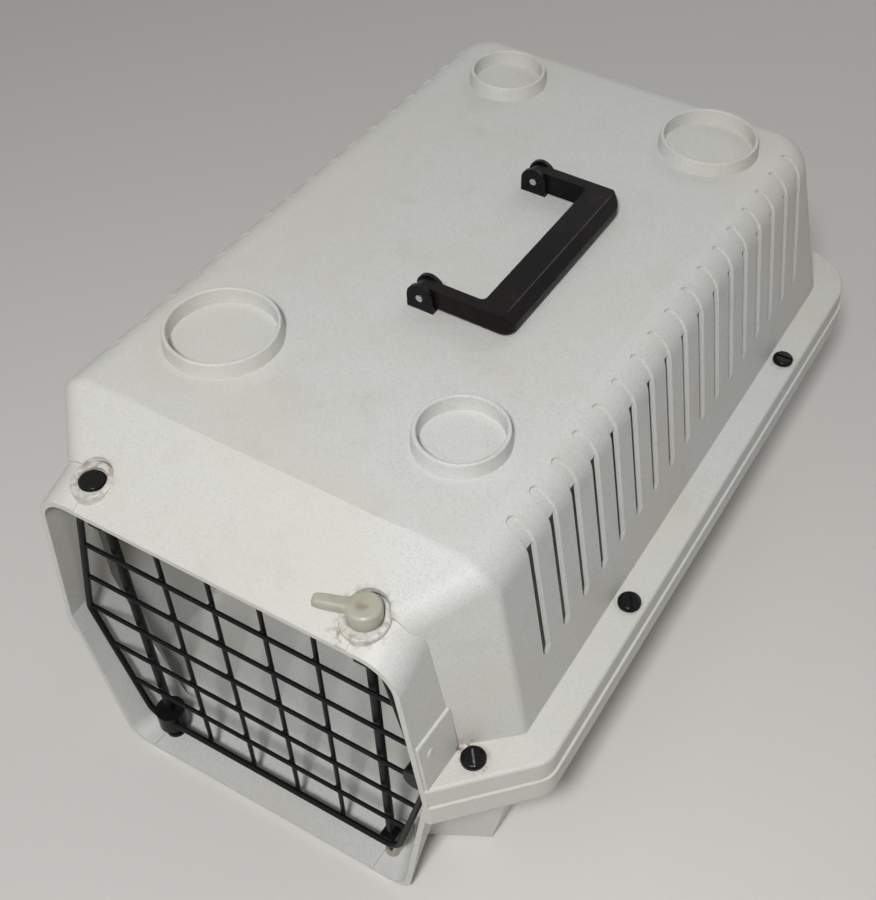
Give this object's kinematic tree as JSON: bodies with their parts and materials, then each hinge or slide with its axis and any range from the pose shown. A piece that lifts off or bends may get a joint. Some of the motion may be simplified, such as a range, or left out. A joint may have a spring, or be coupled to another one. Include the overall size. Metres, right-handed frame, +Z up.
{
  "type": "pet carrier",
  "caption": "Two-shell plastic pet carrier with a wire door on a rod hinge, a turning rod latch, a folding bail handle, slotted sides and dish rings on the roof.",
  "frame": {"origin": "middle of the footprint on the floor", "axes": "+X to the right as the doorway is faced, +Y from the doorway to the rear, +Z up"},
  "size_m": [0.318, 0.49, 0.2641],
  "materials": {
    "shell_plastic": "matt light grey-white with fine grey flecks",
    "black_plastic": "satin black moulding",
    "handle_plastic": "fine-grained satin black moulding",
    "black_wire": "satin black coated wire",
    "nylon": "natural milky nylon",
    "steel_pin": "plain bright steel"
  },
  "bodies": {
    "shell": {"upper_shell": "shell_plastic", "lower_shell": "shell_plastic", "flange_screws": "black_plastic", "flange_nuts": "black_plastic", "handle_bracket_front": "black_plastic", "handle_bracket_rear": "black_plastic", "handle_pin_front": "steel_pin", "handle_pin_rear": "steel_pin", "bracket_screws": "steel_pin", "hinge_bushing_top": "black_plastic", "hinge_bushing_bottom": "black_plastic", "latch_seat_bottom": "nylon"},
    "handle": {"handle_bail": "handle_plastic"},
    "door": {"door_frame": "black_wire", "door_crossbars": "black_wire", "door_uprights": "black_wire", "hinge_rod": "black_wire", "hinge_block": "black_plastic", "rod_clips_top": "black_plastic", "latch_clip_bottom": "black_plastic", "door_bumper": "black_plastic"},
    "lever": {"latch_lever": "nylon"},
    "rod": {"latch_rod": "black_wire"}
  },
  "joints": [
    {"name": "door_swing", "type": "hinge", "parent": "shell", "child": "door", "pos_m": [-0.076, -0.2307, 0.112], "axis": [0, 0, -1], "range_deg": [0, 110]},
    {"name": "latch_turn", "type": "hinge", "parent": "shell", "child": "lever", "pos_m": [0.078, -0.2307, 0.232], "axis": [0, 0, 1], "range_deg": [0, 90]},
    {"name": "rod_turn", "type": "hinge", "parent": "door", "child": "rod", "pos_m": [0.078, -0.2307, 0.112], "axis": [0, 0, 1], "range_deg": [0, 90]},
    {"name": "handle_fold", "type": "hinge", "parent": "shell", "child": "handle", "pos_m": [0.0026, -0.0038, 0.2563], "axis": [0, -1, 0], "range_deg": [0, 180]}
  ],
  "couplings": [
    {"joint": "rod_turn", "follows": "latch_turn", "ratio": 1}
  ]
}
